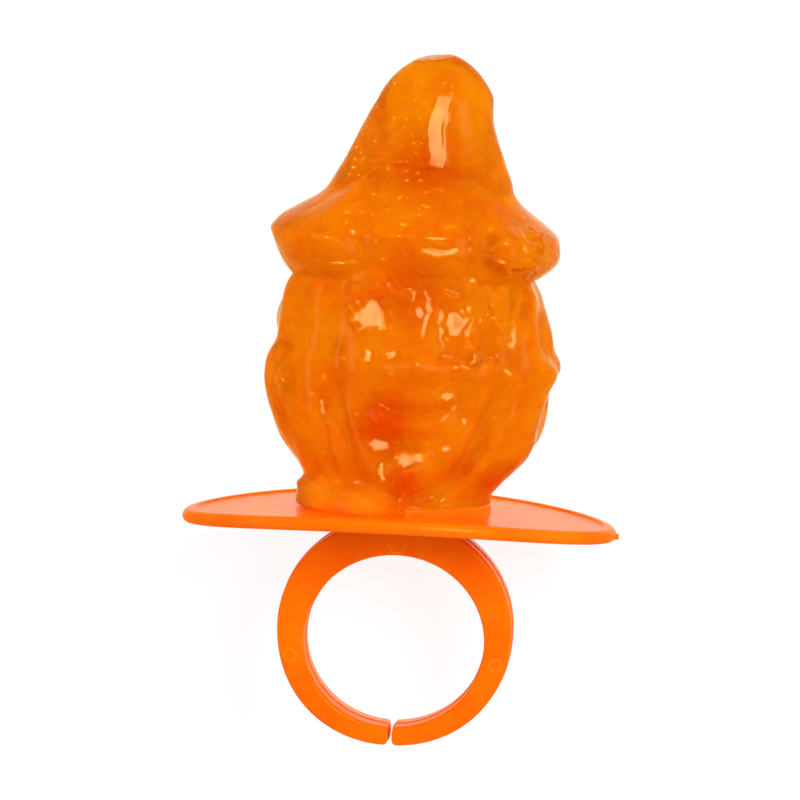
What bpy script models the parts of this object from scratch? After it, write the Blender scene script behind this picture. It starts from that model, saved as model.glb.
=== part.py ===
"""Ring lollipop: a witch's head of clear boiled sweet, moulded on a one-piece plastic finger ring.

Each piece is modelled the way the lollipop is worn, with X across, Y up the sweet and Z out of the
face, and Y = 0 where the tips of the plate lie. The root empty then lays the lollipop on its back
with the face up, so that it rests on the rim of the plate and on the back of the hat's brim.
Sizes are in millimetres, and MM turns them into Blender's metres.
"""

import math

import bmesh
import bpy
import numpy as np
from mathutils import Matrix, Vector

MM = 0.001
CLEARANCE = 0.3  # gap between the sweet and the plastic

# Plastic: an oval plate that droops at its tips, a round plinth on it and the split band under it.
PLATE_WIDTH = 43.6
PLATE_DEPTH = 30.2
PLATE_THICKNESS = 1.35
PLATE_DROOP = 1.4  # how far the tips lie below the middle
PLATE_X = -0.15
PLINTH_RADIUS = 9.5
PLINTH_X = -0.5
PLINTH_TOP = 2.65
PLINTH_EDGE_RADIUS = 0.3
BAND_DEPTH = 5.5  # along the finger
BAND_X = -0.05
BAND_OUTER_RADIUS = 11.75
BAND_OUTER_TOP = 11.2  # height of the outline's upper half, where it runs into the plate
BAND_OUTER_Y = -10.3
BAND_OUTER_SQUARENESS = 2.1  # exponent of the outline's lower half, where 2 is a circle
BAND_INNER_HALF_WIDTH = 9.05
BAND_INNER_HALF_HEIGHT = 8.65
BAND_INNER_Y = -11.5
BAND_EDGE_RADIUS = 0.35
BAND_SPLIT = 0.35  # gap between the two ends
BAND_END_CHAMFER = 0.6
EJECTOR_HEIGHT = 0.12
EJECTOR_MARKS = ((0.0, -1.75, 0.85), (-10.3, -13.4, 0.65), (10.3, -13.4, 0.65))  # x, y, radius
GATE_NUB = (0.45, 1.0)  # radius and length of the moulding stub on the right tip

# Sweet: heights along Y.
SWEET_FOOT = 2.1  # where the skirt that ran over the plinth ends
SWEET_TOP = 47.3
HAT_DOME = 4.3  # height of the rounded tip
BRIM_Y = 28.8
FACE_X = 1.1
HAIR_WIDEST_Y = 15.0
HAIR_HALF_WIDTH = 14.0

# Pose: lying on the plate's rim and the back of the brim.
BRIM_BACK = 12.0
REST_FLAT = 0.25  # how much of the round backs the two resting spots take off
LIE_ANGLE = math.atan2(PLATE_DEPTH / 2 - BRIM_BACK, BRIM_Y - PLATE_DROOP)

# Fineness of the sweet's mesh: columns round it, and rows of its tip, its hat, its face and its base.
COLUMNS = 96
DOME_ROWS = 6
HAT_ROWS = 9
FACE_ROWS = 36
BASE_ROWS = 3
HAT_FOOT = 32.0
FRONT_DENSITY = 0.4  # how much closer the columns stand on the face


# --- shared helpers ---------------------------------------------------------------------------


def clear_scene():
    for obj in list(bpy.data.objects):
        bpy.data.objects.remove(obj, do_unlink=True)


def new_collection(name):
    collection = bpy.data.collections.new(name)
    bpy.context.scene.collection.children.link(collection)
    return collection


def new_material(name, colour, roughness, transmission=0.0):
    material = bpy.data.materials.new(name)
    material.use_nodes = True
    shader = material.node_tree.nodes["Principled BSDF"]
    shader.inputs["Base Color"].default_value = (*colour, 1.0)
    shader.inputs["Roughness"].default_value = roughness
    shader.inputs["Metallic"].default_value = 0.0
    shader.inputs["Transmission Weight"].default_value = transmission
    return material


def add_object(name, data, collection):
    obj = bpy.data.objects.new(name, data)
    collection.objects.link(obj)
    return obj


def mesh_from(source, name, collection):
    """A mesh object of what the source evaluates to, with its seams welded, in place of the source."""
    bpy.context.view_layer.update()
    graph = bpy.context.evaluated_depsgraph_get()
    mesh = bpy.data.meshes.new_from_object(source.evaluated_get(graph))
    made = add_object(name, mesh, collection)
    made.matrix_world = source.matrix_world
    bpy.data.objects.remove(source, do_unlink=True)
    body = bmesh.new()
    body.from_mesh(mesh)
    bmesh.ops.remove_doubles(body, verts=body.verts, dist=0.001 * MM)
    bmesh.ops.recalc_face_normals(body, faces=body.faces)
    body.to_mesh(mesh)
    body.free()
    return made


def turned(name, profile, steps, collection):
    """A solid turned round Y from a profile of (radius, y) that starts and ends on the axis."""
    mesh = bpy.data.meshes.new(name)
    points = [(radius * MM, y * MM, 0.0) for radius, y in profile]
    mesh.from_pydata(points, [(i, i + 1) for i in range(len(points) - 1)], [])
    blank = add_object(name + "_profile", mesh, collection)
    screw = blank.modifiers.new("Screw", "SCREW")
    screw.axis = "Y"
    screw.steps = screw.render_steps = steps
    screw.use_merge_vertices = True
    screw.merge_threshold = 0.00001
    return mesh_from(blank, name, collection)


def arc(centre_radius, centre_y, radius, start, end, steps):
    """Points (radius, y) of a rounded edge, from start to end degrees."""
    angles = [math.radians(start + (end - start) * i / steps) for i in range(steps + 1)]
    return [(centre_radius + radius * math.cos(a), centre_y + radius * math.sin(a)) for a in angles]


def boolean(obj, operand, operation):
    """Applies a Boolean at once. The operand is an object, or a collection for a union of many."""
    modifier = obj.modifiers.new("Boolean", "BOOLEAN")
    modifier.operation = operation
    modifier.solver = "EXACT"
    if isinstance(operand, bpy.types.Collection):
        modifier.operand_type = "COLLECTION"
        modifier.collection = operand
    else:
        modifier.object = operand
    bpy.context.view_layer.update()
    graph = bpy.context.evaluated_depsgraph_get()
    mesh = bpy.data.meshes.new_from_object(obj.evaluated_get(graph))
    obj.modifiers.remove(modifier)
    obj.data = mesh


def coordinates(mesh):
    """The mesh's points in millimetres, one row each."""
    flat = np.empty(len(mesh.vertices) * 3)
    mesh.vertices.foreach_get("co", flat)
    return flat.reshape(-1, 3) / MM


def set_coordinates(mesh, points):
    mesh.vertices.foreach_set("co", (points * MM).ravel())
    mesh.update()


def smooth_step(value, low, high):
    share = np.clip((value - low) / (high - low), 0.0, 1.0)
    return share * share * (3.0 - 2.0 * share)


def bell(value, width):
    return np.exp(-((value / width) ** 2))


def rest_flat(points):
    """Flattens the points that would lie below the floor once the lollipop lies on its back."""
    down = Vector((0.0, math.sin(LIE_ANGLE), -math.cos(LIE_ANGLE)))
    floor = Vector((0.0, PLATE_DROOP, -PLATE_DEPTH / 2)).dot(down) - REST_FLAT
    below = np.maximum(points @ np.array(down) - floor, 0.0)
    return points - below[:, None] * np.array(down)


# --- plastic ----------------------------------------------------------------------------------


def make_plate(collection):
    """Oval plate with a rounded rim, turned as a disc, squashed to an oval and bent down at its tips."""
    edge = PLATE_THICKNESS / 2
    radius = PLATE_WIDTH / 2
    rings = [radius * share for share in (0.3, 0.6, 0.82)]
    top = [(0.0, edge)] + [(ring, edge) for ring in rings]
    rim = arc(radius - edge, 0.0, edge, 90, -90, 6)
    bottom = [(ring, -edge) for ring in reversed(rings)] + [(0.0, -edge)]
    plate = turned("plate", top + rim + bottom, 64, collection)
    points = coordinates(plate.data)
    # The rim keeps its round section where the disc is squashed.
    around = np.arctan2(points[:, 2], points[:, 0])
    reach = np.hypot(points[:, 0], points[:, 2])
    squash = (PLATE_DEPTH / 2 - edge) / (radius - edge)
    inner = np.minimum(reach, radius - edge)
    outer = reach - inner
    points[:, 0] = (inner + outer) * np.cos(around)
    points[:, 2] = (inner * squash + outer) * np.sin(around)
    points[:, 1] += PLATE_DROOP * (1.0 - (points[:, 0] / radius) ** 2)
    points[:, 0] += PLATE_X
    set_coordinates(plate.data, rest_flat(points))
    return plate


def make_plinth(collection):
    """Round seat for the sweet, sunk into the plate."""
    corner = PLINTH_RADIUS - PLINTH_EDGE_RADIUS
    rounded = arc(corner, PLINTH_TOP - PLINTH_EDGE_RADIUS, PLINTH_EDGE_RADIUS, 90, 0, 3)
    foot = PLATE_DROOP - 0.3 * PLATE_THICKNESS
    profile = [(0.0, PLINTH_TOP)] + rounded + [(PLINTH_RADIUS, foot), (0.0, foot)]
    plinth = turned("plinth", profile, 56, collection)
    plinth.data.transform(Matrix.Translation((PLINTH_X * MM, 0.0, 0.0)))
    return plinth


def outer_point(angle):
    """Point of the band's outer outline at an angle, from its middle."""
    cos, sin = math.cos(angle), math.sin(angle)
    if sin > 0:
        return BAND_OUTER_RADIUS * cos, BAND_OUTER_TOP * sin
    power = 2.0 / BAND_OUTER_SQUARENESS
    x = math.copysign(abs(cos) ** power, cos)
    return BAND_OUTER_RADIUS * x, -BAND_OUTER_RADIUS * abs(sin) ** power


def band_outline():
    """Outline of the split band: round outside, oval inside, thinnest at the split, with blunt ends."""
    steps = 40
    start = math.radians(-90) + (BAND_SPLIT / 2 + BAND_END_CHAMFER) / BAND_OUTER_RADIUS
    end = math.radians(180) - start
    outer, inner = [], []
    for i in range(steps + 1):
        a = start + (end - start) * i / steps
        x, y = outer_point(a)
        outer.append((x, BAND_OUTER_Y + y))
        x, y = BAND_INNER_HALF_WIDTH * math.cos(a), BAND_INNER_HALF_HEIGHT * math.sin(a)
        inner.append((x, BAND_INNER_Y + y))
    middle = (outer[0][1] + inner[0][1]) / 2
    flat = (inner[0][1] - outer[0][1]) / 2 - BAND_END_CHAMFER * 0.8
    right_end = [(BAND_SPLIT / 2, middle + flat), (BAND_SPLIT / 2, middle - flat)]
    left_end = [(-x, y) for x, y in reversed(right_end)]
    return right_end + outer + left_end + list(reversed(inner))


def make_band(collection):
    """Finger band: the outline extruded along the finger, with rounded edges."""
    curve = bpy.data.curves.new("band", "CURVE")
    curve.dimensions = "2D"
    curve.fill_mode = "BOTH"
    curve.extrude = (BAND_DEPTH / 2 - BAND_EDGE_RADIUS) * MM
    curve.bevel_depth = BAND_EDGE_RADIUS * MM
    curve.bevel_resolution = 1
    curve.offset = -BAND_EDGE_RADIUS * MM
    outline = band_outline()
    spline = curve.splines.new("POLY")
    spline.points.add(len(outline) - 1)
    for point, (x, y) in zip(spline.points, outline):
        point.co = ((x + BAND_X) * MM, y * MM, 0.0, 1.0)
    spline.use_cyclic_u = True
    return mesh_from(add_object("band_curve", curve, collection), "band", collection)


def make_disc(name, centre, radius, length, axis, steps, collection):
    """A short round stub at a centre, along an axis."""
    body = bmesh.new()
    bmesh.ops.create_cone(
        body, cap_ends=True, segments=steps, radius1=radius * MM, radius2=radius * MM, depth=length * MM
    )
    turn = Vector((0.0, 0.0, 1.0)).rotation_difference(Vector(axis)).to_matrix().to_4x4()
    body.transform(Matrix.Translation(Vector(centre) * MM) @ turn)
    mesh = bpy.data.meshes.new(name)
    body.to_mesh(mesh)
    body.free()
    return add_object(name, mesh, collection)


def make_marks(collection):
    """Ejector marks that stand a little proud of the band's front, and the gate stub on the tip."""
    for number, (x, y, radius) in enumerate(EJECTOR_MARKS):
        sunk = 0.5
        z = BAND_DEPTH / 2 + EJECTOR_HEIGHT / 2 - sunk / 2
        height = EJECTOR_HEIGHT + sunk
        make_disc(f"mark_{number}", (x + BAND_X, y, z), radius, height, (0, 0, 1), 20, collection)
    radius, length = GATE_NUB
    tip = (PLATE_X + PLATE_WIDTH / 2 - length * 0.25, -0.13, 0.17)
    make_disc("gate", tip, radius, length, (1, 0, 0), 12, collection)


def make_ring_base(collection, material):
    """Plate, plinth, band and moulding marks, joined into one piece of plastic."""
    joined = new_collection("plastic_pieces")
    make_plinth(joined)
    make_band(joined)
    make_marks(joined)
    plate = make_plate(collection)
    boolean(plate, joined, "UNION")
    for helper in list(joined.objects):
        bpy.data.objects.remove(helper, do_unlink=True)
    bpy.data.collections.remove(joined)
    plate.name = plate.data.name = "ring_base"
    plate.data.materials.clear()
    plate.data.materials.append(material)
    return plate


# --- sweet: outline ---------------------------------------------------------------------------


def hat_reach(y):
    """Half width of the hat's cone, which flares down to the brim and closes in a round tip."""
    cone = 9.05 * np.exp(-(y - 34.0) / 18.5)
    dome = np.clip((y - (SWEET_TOP - HAT_DOME)) / HAT_DOME, 0.0, 1.0)
    return cone * np.sqrt(np.maximum(1.0 - dome**2, 0.0))


def hair_reach(y):
    """Half width of the hair, widest level with the nose and drawn in to the plinth."""
    below = 0.037 * np.minimum(y - HAIR_WIDEST_Y, 0.0) ** 2
    above = 0.020 * np.maximum(y - HAIR_WIDEST_Y, 0.0) ** 2
    return np.maximum(HAIR_HALF_WIDTH - below - above, 9.2)


def outline(y, side):
    """Half width of the sweet at a height. side is -1 on its left and +1 on its right."""
    under_hat = smooth_step(y, 25.0, 31.0)
    reach = hair_reach(y) * (1.0 - under_hat) + np.minimum(hat_reach(y), 11.6) * under_hat
    right = (side + 1.0) / 2.0
    left = 1.0 - right
    # Curls that show at the edge of the hair.
    left_curls = 0.15 * bell(y - 14.2, 1.6) - 0.4 * bell(y - 18.4, 1.3) - 0.5 * bell(y - 6.0, 2.2)
    right_curls = 1.0 * bell(y - 16.2, 1.5) + 0.3 * bell(y - 19.8, 1.5) + 0.4 * bell(y - 8.5, 2.0)
    shoulder = 0.35 * bell(y - 43.0, 1.5)
    return reach + left * left_curls + right * (right_curls + shoulder)


def centre_x(y):
    """The hat leans to the right as it rises, and the whole head stands a little to the right."""
    return 0.25 + 0.118 * np.maximum(y - 31.0, 0.0)


def front_reach(y):
    """Depth of the sweet in front of its axis, before the features of the face."""
    face = 9.0 + 0.9 * smooth_step(y, 3.0, 9.0) - 0.4 * smooth_step(y, 17.0, 24.0)
    hat = np.minimum(hat_reach(y) * 0.92, 10.6)
    under_hat = smooth_step(y, 25.0, 31.0)
    return face * (1.0 - under_hat) + hat * under_hat


def back_reach(y):
    """Depth behind the axis: the hair's back and the hat."""
    hair = 9.0 + 1.3 * smooth_step(y, 3.0, 12.0)
    hat = np.minimum(hat_reach(y) * 0.88, 10.2)
    under_hat = smooth_step(y, 25.0, 31.0)
    return hair * (1.0 - under_hat) + hat * under_hat


def brim(angle, y):
    """Thick rolled brim, which droops into a flap on each side and lies on the floor at the back."""
    cos, sin = np.cos(angle), np.sin(angle)
    left = smooth_step(-cos, 0.35, 0.62)
    right = smooth_step(cos, 0.45, 0.7)
    back = smooth_step(-sin, 0.2, 0.9) * (1.0 - left - right)
    reach = 1.7 + 1.45 * left + 1.7 * right + 0.35 * back
    middle = 28.2 + 1.0 * left - 0.3 * right + (BRIM_Y - 28.2) * back
    above = 3.0 + 0.3 * left + 1.5 * right
    below = 3.3 + 1.0 * left + 0.7 * right
    across = np.clip(np.maximum((y - middle) / above, (middle - y) / below), 0.0, 1.0)
    notch = bell(cos + 0.42, 0.10) + bell(cos - 0.52, 0.10)
    front = smooth_step(sin, 0.2, 0.5)
    return (reach - 0.7 * notch * front) * (1.0 - across**2)


# --- sweet: relief ----------------------------------------------------------------------------


def face_edge(y):
    """Half width of the face inside its frame of hair. It ends in a narrow jaw."""
    share = np.clip((18.0 - y) / 16.2, 0.0, 1.0)
    return 8.3 * (1.0 - share**2) ** 0.65


def brow_and_eyes(x, y):
    """Two arched brows over hollow sockets with round eyes."""
    relief = 0.0
    for side in (-1, 1):
        off = x * side
        arch = 24.6 - 0.09 * (off - 4.6) ** 2
        span = smooth_step(off, 0.6, 2.2) * (1.0 - smooth_step(off, 6.8, 8.4))
        relief = relief + 0.9 * bell(y - arch, 0.9) * span
        relief = relief - 1.3 * bell(off - 4.5, 2.4) * bell(y - 21.6, 1.9)
        relief = relief + 1.6 * bell(np.hypot(off - 4.6, (y - 21.8) * 1.15), 1.7)
    return relief


def nose(x, y):
    """Long nose that widens and hooks down to a heavy tip between two nostrils."""
    along = np.clip((24.0 - y) / (24.0 - 16.9), 0.0, 1.0)
    height = 0.6 + 1.0 * along
    width = 1.15 + 0.5 * along
    end = smooth_step(y, 15.0, 17.8) * (1.0 - smooth_step(y, 23.0, 25.6))
    relief = height * bell(x, width) * end
    relief = relief + 2.0 * bell(np.hypot(x, y - 16.6), 1.8)
    for side in (-1, 1):
        relief = relief + 0.9 * bell(np.hypot(x - side * 2.2, y - 16.5), 1.15)
    return relief


def cheeks(x, y):
    """Full cheeks and the creases that run from the nostrils past the mouth."""
    relief = 0.0
    for side in (-1, 1):
        off = x * side
        relief = relief + 1.1 * bell(np.hypot(off - 5.3, (y - 17.2) * 0.9), 2.4)
        crease = 3.2 + 0.42 * (15.9 - y)
        span = smooth_step(y, 10.6, 12.6) * (1.0 - smooth_step(y, 15.0, 16.8))
        relief = relief - 0.45 * bell(off - crease, 0.7) * span
    return relief


def mouth_and_chin(x, y):
    """Smiling mouth between two lips, and a knob of a chin under a deep crease."""
    smile = 12.5 + 0.075 * x**2
    span = 1.0 - smooth_step(np.abs(x), 3.2, 4.9)
    relief = -0.8 * bell(y - smile, 0.6) * span
    relief = relief + 0.5 * bell(y - smile - 1.3, 0.8) * span
    relief = relief + 0.7 * bell(y - smile + 1.4, 0.9) * span
    relief = relief - 0.6 * bell(y - 9.4, 0.9) * bell(x, 3.2)
    knob = np.clip(1.0 - (x * 0.9 / 2.6) ** 2 - ((y - 6.3) / 2.3) ** 2, 0.0, 1.0)
    return relief + 0.9 * bell(np.hypot(x * 0.8, y - 6.3), 3.0) + 1.7 * knob**0.7


def hair(x, y, angle):
    """Wavy locks behind a groove round the face, with sharp partings between round strands."""
    edge = face_edge(y)
    slope = (face_edge(y + 0.1) - face_edge(y - 0.1)) / 0.2
    off_face = (np.abs(x) - edge) / np.sqrt(1.0 + slope**2)
    front = smooth_step(np.sin(angle), -0.05, 0.3)
    hair_zone = 1.0 - front * (1.0 - smooth_step(off_face, -0.2, 1.0))
    under_brim = 1.0 - smooth_step(y, 23.6, 26.0)
    above_foot = smooth_step(y, 3.4, 7.0)
    from_front = np.abs(angle - math.pi / 2)
    turn = np.minimum(from_front, 2 * math.pi - from_front)
    swirl = 0.7 * np.sin(2 * math.pi * y / 9.5 + 1.1) + 0.11 * y + 0.5 * np.sign(x)
    strand = np.sqrt(np.sin(turn * 5.0 + swirl) ** 2 + 0.03)
    relief = 0.85 * (strand - 0.62) * hair_zone * under_brim * above_foot
    groove = bell(off_face, 0.75) * front * under_brim * smooth_step(y, 2.6, 4.0)
    frame_lock = bell(off_face - 1.9, 1.2) * front * under_brim * smooth_step(y, 8.0, 12.0)
    return relief - 0.75 * groove + 0.5 * frame_lock


def hat_folds(angle, y):
    """Shallow dents of the felt hat, and the crease over the brim."""
    on_cone = smooth_step(y, 32.0, 35.0) * (1.0 - smooth_step(y, 42.0, 46.0))
    dents = 0.16 * np.sin(2 * angle + 0.35 * y + 1.6) + 0.12 * np.sin(3 * angle - 0.5 * y)
    return dents * on_cone


def skirt(angle, y):
    """Sweet that ran over the plinth and set on the plate, on the left and in front."""
    ran_over = smooth_step(-np.cos(angle), -0.16, -0.08) * smooth_step(np.sin(angle), -0.75, -0.6)
    wave = 0.2 * np.sin(7.0 * angle)
    return (1.15 + 0.3 * wave) * ran_over * (1.0 - smooth_step(y, 3.5 + wave, 4.8 + wave))


def sweet_surface(angle, y):
    """Points of the sweet's skin at an angle, 0 on the right and 90 degrees on the face, and a height."""
    cos, sin = np.cos(angle), np.sin(angle)
    side = np.sign(cos)
    roundness = 2.0 / (2.0 + 0.35 * (1.0 - smooth_step(y, 22.0, 34.0)) * smooth_step(y, 3.0, 8.0))
    across = outline(y, side)
    depth = np.where(sin > 0, front_reach(y), back_reach(y))
    closing = hat_reach(y) / hat_reach(np.minimum(y, SWEET_TOP - HAT_DOME))
    radial = (hat_folds(angle, y) + brim(angle, y)) * closing + skirt(angle, y)
    x = (across + radial) * side * np.abs(cos) ** roundness
    z = (depth + radial) * np.sign(sin) * np.abs(sin) ** roundness
    off_face = x - FACE_X - 0.05 * (y - 12.0)
    on_face = smooth_step(sin, 0.05, 0.45) * smooth_step(y, 2.4, 4.4)
    features = brow_and_eyes(off_face, y) + nose(off_face, y) + cheeks(off_face, y)
    features = features + mouth_and_chin(off_face, y)
    locks = hair(off_face, y, angle)
    foot = PLINTH_X * (1.0 - smooth_step(y, 3.0, 9.0))
    x = x + locks * cos + centre_x(y) + foot
    z = z + locks * sin + features * on_face
    return x, z


def row_places():
    """Height and radial share of every row from the tip to the middle of the base."""
    shoulder = SWEET_TOP - HAT_DOME
    rows = [(shoulder + HAT_DOME * math.cos(math.pi / 2 * i / DOME_ROWS), 1.0) for i in range(DOME_ROWS)]
    rows += [(shoulder + (HAT_FOOT - shoulder) * i / HAT_ROWS, 1.0) for i in range(HAT_ROWS)]
    rows += [(HAT_FOOT + (SWEET_FOOT - HAT_FOOT) * i / FACE_ROWS, 1.0) for i in range(FACE_ROWS + 1)]
    rows += [(SWEET_FOOT, 1.0 - i / BASE_ROWS) for i in range(1, BASE_ROWS + 1)]
    return np.array(rows)


def make_sweet(collection, material):
    """The head as one solid: a sphere whose rows and columns are laid out over the sweet's skin."""
    rows = row_places()
    body = bmesh.new()
    bmesh.ops.create_uvsphere(body, u_segments=COLUMNS, v_segments=len(rows) - 1, radius=MM)
    mesh = bpy.data.meshes.new("witch_head")
    body.to_mesh(mesh)
    body.free()
    ball = coordinates(mesh)
    row = np.rint(np.arccos(np.clip(ball[:, 2], -1.0, 1.0)) / math.pi * (len(rows) - 1)).astype(int)
    angle = np.arctan2(-ball[:, 1], ball[:, 0])
    angle = angle + FRONT_DENSITY * np.cos(angle)
    y, share = rows[row].T
    x, z = sweet_surface(angle, y)
    middle = centre_x(y)
    points = np.column_stack([middle + (x - middle) * share, y, z * share])
    set_coordinates(mesh, rest_flat(points))
    sweet = add_object("witch_head", mesh, collection)
    mesh.materials.append(material)
    return sweet


def cut_seat(sweet, cutters):
    """Cuts the plinth's room out of the sweet's base, so that only the skirt reaches past the plinth."""
    top = PLINTH_TOP + CLEARANCE
    seat = make_disc(
        "seat_cutter", (PLINTH_X, top - 2.0, 0.0), PLINTH_RADIUS + CLEARANCE, 4.0, (0, -1, 0), 64, cutters
    )
    seat.hide_render = True
    seat.display_type = "WIRE"
    boolean(sweet, seat, "DIFFERENCE")


# --- assembly ---------------------------------------------------------------------------------


def lay_down(pieces, collection):
    """Lays the pieces on their back under one root, centred over the origin with the floor at Z = 0."""
    root = add_object("root", None, collection)
    root.rotation_euler = (-LIE_ANGLE, 0.0, 0.0)
    turn = Matrix.Rotation(-LIE_ANGLE, 4, "X")
    corners = np.array([turn @ vertex.co for piece in pieces for vertex in piece.data.vertices])
    low, high = corners.min(axis=0), corners.max(axis=0)
    root.location = (-(low[0] + high[0]) / 2, -(low[1] + high[1]) / 2, -low[2])
    for piece in pieces:
        piece.parent = root


def shade(piece, sharp_angle):
    piece.data.shade_smooth()
    piece.data.set_sharp_from_angle(angle=math.radians(sharp_angle))


def main():
    clear_scene()
    lollipop = new_collection("ring_lollipop")
    cutters = new_collection("cutters")
    plastic = new_material("orange_plastic", (1.0, 0.17, 0.002), 0.35)
    sugar = new_material("orange_sweet", (0.95, 0.2, 0.003), 0.08, 0.8)
    ring_base = make_ring_base(lollipop, plastic)
    sweet = make_sweet(lollipop, sugar)
    cut_seat(sweet, cutters)
    shade(ring_base, 35)
    shade(sweet, 70)
    lay_down((ring_base, sweet), lollipop)


main()
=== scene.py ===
"""Looks of the ring lollipop: a witch's head of clear orange boiled sweet on a plastic finger ring.

The pieces are modelled the way the lollipop is worn, with X across, Y up the sweet and Z out of the
face, in millimetres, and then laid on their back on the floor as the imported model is.
"""

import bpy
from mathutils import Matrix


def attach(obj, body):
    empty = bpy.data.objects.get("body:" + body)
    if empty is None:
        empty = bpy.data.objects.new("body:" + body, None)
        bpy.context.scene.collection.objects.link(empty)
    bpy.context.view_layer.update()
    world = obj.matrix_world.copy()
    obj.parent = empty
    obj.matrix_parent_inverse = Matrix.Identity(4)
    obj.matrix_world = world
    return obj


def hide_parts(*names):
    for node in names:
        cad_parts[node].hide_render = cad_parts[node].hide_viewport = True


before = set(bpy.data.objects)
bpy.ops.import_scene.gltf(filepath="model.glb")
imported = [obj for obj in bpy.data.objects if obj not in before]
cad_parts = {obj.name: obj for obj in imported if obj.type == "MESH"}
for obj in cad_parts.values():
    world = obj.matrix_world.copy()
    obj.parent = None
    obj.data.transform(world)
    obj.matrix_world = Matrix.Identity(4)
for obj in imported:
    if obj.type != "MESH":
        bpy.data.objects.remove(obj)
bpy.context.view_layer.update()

import math
import random

import bmesh
import bpy
import numpy as np
from mathutils import Matrix, Vector, noise
from mathutils.bvhtree import BVHTree

MM = 0.001

# Plastic
PLATE_WIDTH = 43.6
PLATE_DEPTH = 30.2
PLATE_THICKNESS = 1.35
PLATE_DROOP = 1.4
PLATE_RECESS = 0.22
PLATE_RIM_WIDTH = 1.5
PLATE_X = -0.15
PLINTH_RADIUS = 9.5
PLINTH_X = -0.5
PLINTH_TOP = 2.65
PLINTH_EDGE_RADIUS = 0.3
BAND_DEPTH = 5.5
BAND_X = -0.05
BAND_OUTER_RADIUS = 11.75
BAND_OUTER_TOP = 11.2
BAND_OUTER_Y = -10.3
BAND_OUTER_SQUARENESS = 2.1
BAND_INNER_HALF_WIDTH = 9.05
BAND_INNER_HALF_HEIGHT = 8.65
BAND_INNER_Y = -11.5
BAND_EDGE_RADIUS = 0.35
BAND_SPLIT = 0.35
BAND_END_CHAMFER = 0.6
BAND_SEAM = (0.09, 0.22)  # height, width
EJECTOR_HEIGHT = 0.12
EJECTOR_ROOT = 0.5  # how far a mark's disc reaches into the band
EJECTOR_MARKS = ((0.0, -1.75, 0.85), (-10.3, -13.4, 0.65), (10.3, -13.4, 0.65))
GATE_NUB = (0.45, 1.0)  # radius, length

# Sweet
SEAT_GAP = 0.03  # the sweet stands on the plinth, all but touching
SEAT_SIDE_GAP = 0.12
SWEET_FOOT = 1.95
SWEET_TOP = 47.3
HAT_DOME = 4.3
BRIM_Y = 28.8
FACE_X = 1.1
HAIR_WIDEST_Y = 15.0
HAIR_HALF_WIDTH = 14.0
HAIR_DRAWS_IN = (0.037, 0.020)  # how fast the hair narrows below its widest place and above it
NECK_HALF_WIDTH = 9.2
STRANDS = 5.0
HAIR_WAVE = 9.5
HAT_CONE = (9.05, 34.0, 18.5)  # half width, the height that it holds at, how slowly it narrows
HAT_LEAN = (0.118, 31.0)  # how far it leans for each millimetre, above this height
BRIM_FRONT_Y = 28.2
BROW_Y = 24.6
EYE_X = 4.6
EYE_Y = 21.6
EYE_SOCKET_X = 4.5
NOSE_TOP_Y = 24.0
NOSE_BROAD_Y = 16.9
NOSE_TIP_Y = 16.6
NOSTRIL_X = 2.2
NOSTRIL_Y = 16.5
CHEEK = (5.3, 17.2, 2.7)  # x, y, size
MOUTH_Y = 12.3
CHIN_Y = 6.3
SKIRT = (1.15, 3.5, 4.8)  # thickness, and the heights between which it ends
COLUMNS = 300
DOME_ROWS = 26
HAT_ROWS = 60
FACE_ROWS = 200
BASE_ROWS = 8
HAT_FOOT = 32.0
FRONT_DENSITY = 0.4  # how far the columns crowd towards the face

# Round ends of the brim beside the face: height, x, y, half width, half height
BRIM_LOBES = ((0.78, -8.6, 27.6, 4.6, 2.9), (0.88, 11.2, 28.4, 4.2, 2.8))

# Smooth flats in the skin that catch the key light: x, y, half width, half height
FLATS = (
    (-3.1, 21.7, 1.9, 1.4),
    (5.3, 21.2, 1.0, 1.1),
    (1.65, 22.2, 0.6, 0.65),
    (3.7, 21.9, 0.35, 0.7),
    (-3.3, 17.7, 0.5, 0.7),
    (-1.1, 17.9, 0.8, 0.6),
    (4.6, 14.0, 0.8, 0.55),
    (-1.9, 9.0, 0.9, 0.7),
    (1.5, 7.9, 1.4, 0.8),
    (-1.3, 6.6, 0.4, 1.0),
    (4.0, 28.2, 2.9, 0.5),
    (-6.6, 26.7, 1.8, 0.25),
    (9.4, 27.6, 1.0, 0.25),
    (12.2, 26.6, 1.5, 0.22),
    (12.6, 30.2, 0.9, 0.6),
    (13.6, 29.0, 0.7, 0.8),
    (11.7, 28.8, 0.5, 0.4),
    (13.2, 27.6, 0.5, 0.3),
)
FLAT_TILT = (-0.22, -0.25)
# Places on the right cheek and the brow, turned away from the key light
DULL_PLACES = ((5.6, 18.6, 1.9, 1.1), (8.6, 20.0, 1.2, 2.2), (2.6, 24.9, 3.8, 0.8))
DULL_TILT = (-0.1, 0.12)
# How far a flat may sink into the skin, and how far it may stand out of the face and of the brim
DEEPEST_PRESS = 1.2
FACE_FILL = 1.0
BRIM_FILL = 0.22
BRIM_FOOT = 25.5

# The bright streak down the crown: lowest, highest, half width
STREAK = (35.8, 43.4, 0.75)

# The small flat at the hat's tip: how much is cut off, and the way it faces
TIP_CUT = 0.35
TIP_FACES = (-0.12, 0.98, 0.12)

# Where the sugar is painted a deeper red: place, radius, depth of the colour. Painted shade under the brim
# and in the grooves round the chin; at the mouth, the chin, the crown and low on each side, a deeper red
DEEP_RED_AND_SHADE_PLACES = (
    ((-1.6, 10.8, 9.5), 4.8, 1.3),
    ((1.2, 24.6, 10.0), 5.0, 0.6),
    ((1.6, 36.5, 7.5), 6.5, 0.8),
    ((-9.5, 4.5, 3.0), 6.0, 0.6),
    ((9.5, 4.5, 3.0), 6.0, 0.8),
    ((1.0, 5.6, 12.0), 3.6, 0.9),
    ((1.0, 3.5, 9.0), 4.0, 0.5),
    ((-4.4, 6.0, 9.0), 3.2, 0.7),
    ((6.2, 6.5, 9.0), 3.2, 0.7),
)
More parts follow.
